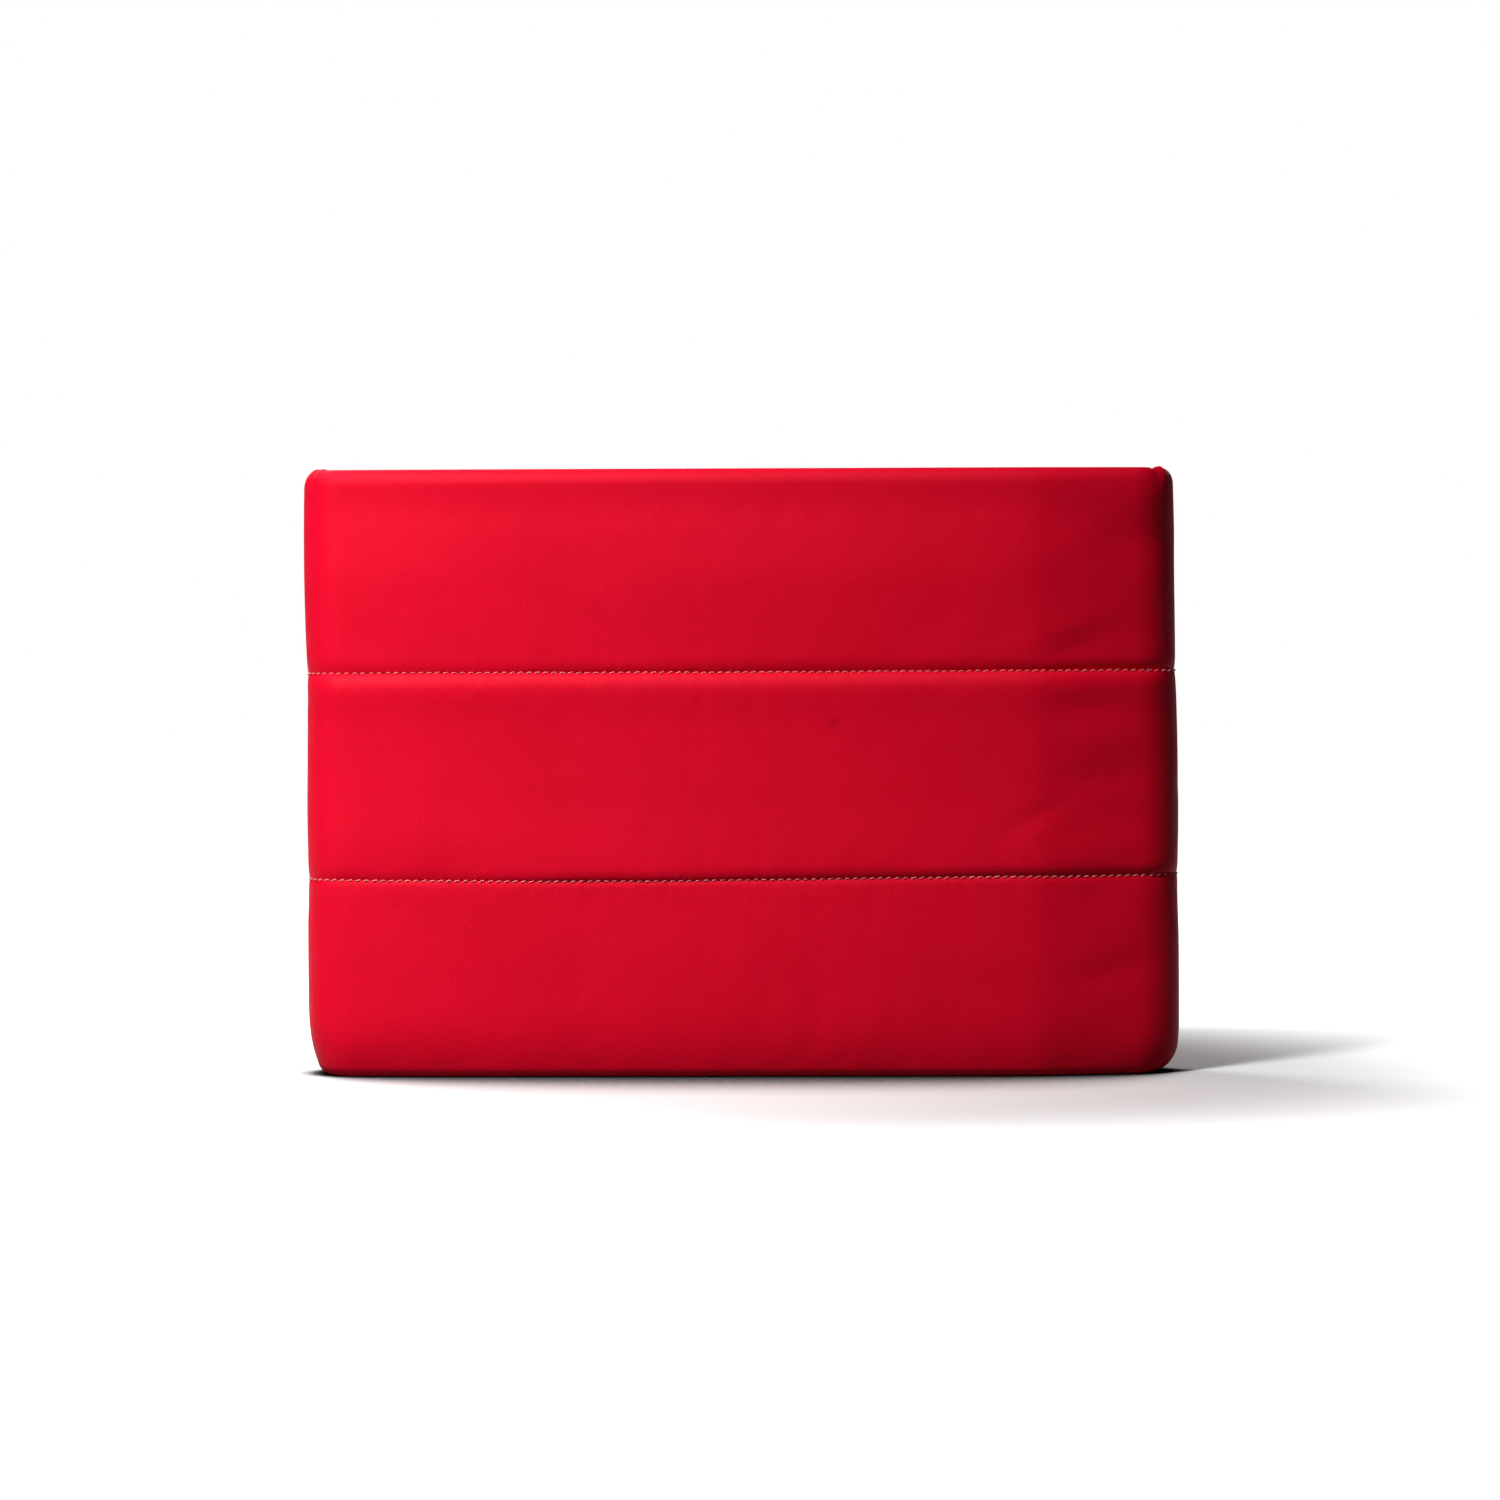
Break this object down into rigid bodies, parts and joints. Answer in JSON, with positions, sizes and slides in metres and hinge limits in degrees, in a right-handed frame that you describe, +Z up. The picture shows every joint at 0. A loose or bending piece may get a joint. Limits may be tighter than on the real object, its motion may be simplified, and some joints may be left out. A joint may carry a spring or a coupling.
{
  "type": "padded zip case",
  "caption": "Upright padded fabric case with horizontal quilted channels, a rounded rim and a recessed zip along the top that opens to a lined pocket.",
  "frame": {"origin": "centre of the flat base, on the surface that the case stands on", "axes": "+X along the width, +Y from the pictured front to the back, +Z up to the mouth"},
  "size_m": [0.337, 0.044, 0.236],
  "materials": {
    "shell_fabric": "smooth close twill, soft sheen",
    "lining_fabric": "plain woven, matt",
    "foam": "open-cell foam, matt",
    "board": "stiff sheet, matt",
    "thread": "twisted polyester thread",
    "zip_tape": "woven tape, matt",
    "zip_teeth": "moulded, satin",
    "zip_metal": "nickel plate, satin"
  },
  "bodies": {
    "case": {"cover_upper_band": "shell_fabric", "cover_middle_band": "shell_fabric", "cover_lower_band": "shell_fabric", "cover_base_panel": "shell_fabric", "topstitch_upper": "thread", "topstitch_lower": "thread", "rim_corner_tucks": "shell_fabric", "rim_piping": "foam", "front_pad_upper": "foam", "front_pad_middle": "foam", "front_pad_lower": "foam", "back_pad_upper": "foam", "back_pad_middle": "foam", "back_pad_lower": "foam", "left_pad_upper": "foam", "left_pad_middle": "foam", "left_pad_lower": "foam", "right_pad_upper": "foam", "right_pad_middle": "foam", "right_pad_lower": "foam", "base_pad": "foam", "base_board": "board", "lining_front": "lining_fabric", "lining_back": "lining_fabric", "lining_left": "lining_fabric", "lining_right": "lining_fabric", "lining_base": "lining_fabric", "zip_tape_ends": "zip_tape", "zip_teeth_ends": "zip_teeth", "zip_stops": "zip_metal", "zip_end_tab_left": "shell_fabric", "zip_end_tab_right": "shell_fabric"},
    "front_flap": {"zip_tape_front": "zip_tape", "zip_teeth_front": "zip_teeth"},
    "back_flap": {"zip_tape_back": "zip_tape", "zip_teeth_back": "zip_teeth"},
    "slider": {"zip_slider": "zip_metal"},
    "pull": {"zip_pull": "zip_metal"}
  },
  "joints": [
    {"name": "zip_slide", "type": "slide", "parent": "case", "child": "slider", "axis": [1, 0, 0], "range_m": [0, 0.2904]},
    {"name": "pull_swing", "type": "hinge", "parent": "slider", "child": "pull", "pos_m": [-0.1452, 0, 0.23185], "axis": [0, 1, 0], "range_deg": [0, 180]},
    {"name": "front_flap_fold", "type": "hinge", "parent": "case", "child": "front_flap", "pos_m": [0, -0.0112, 0.2288], "axis": [1, 0, 0], "range_deg": [0, 88]},
    {"name": "back_flap_fold", "type": "hinge", "parent": "case", "child": "back_flap", "pos_m": [0, 0.0112, 0.2288], "axis": [-1, 0, 0], "range_deg": [0, 88]}
  ]
}
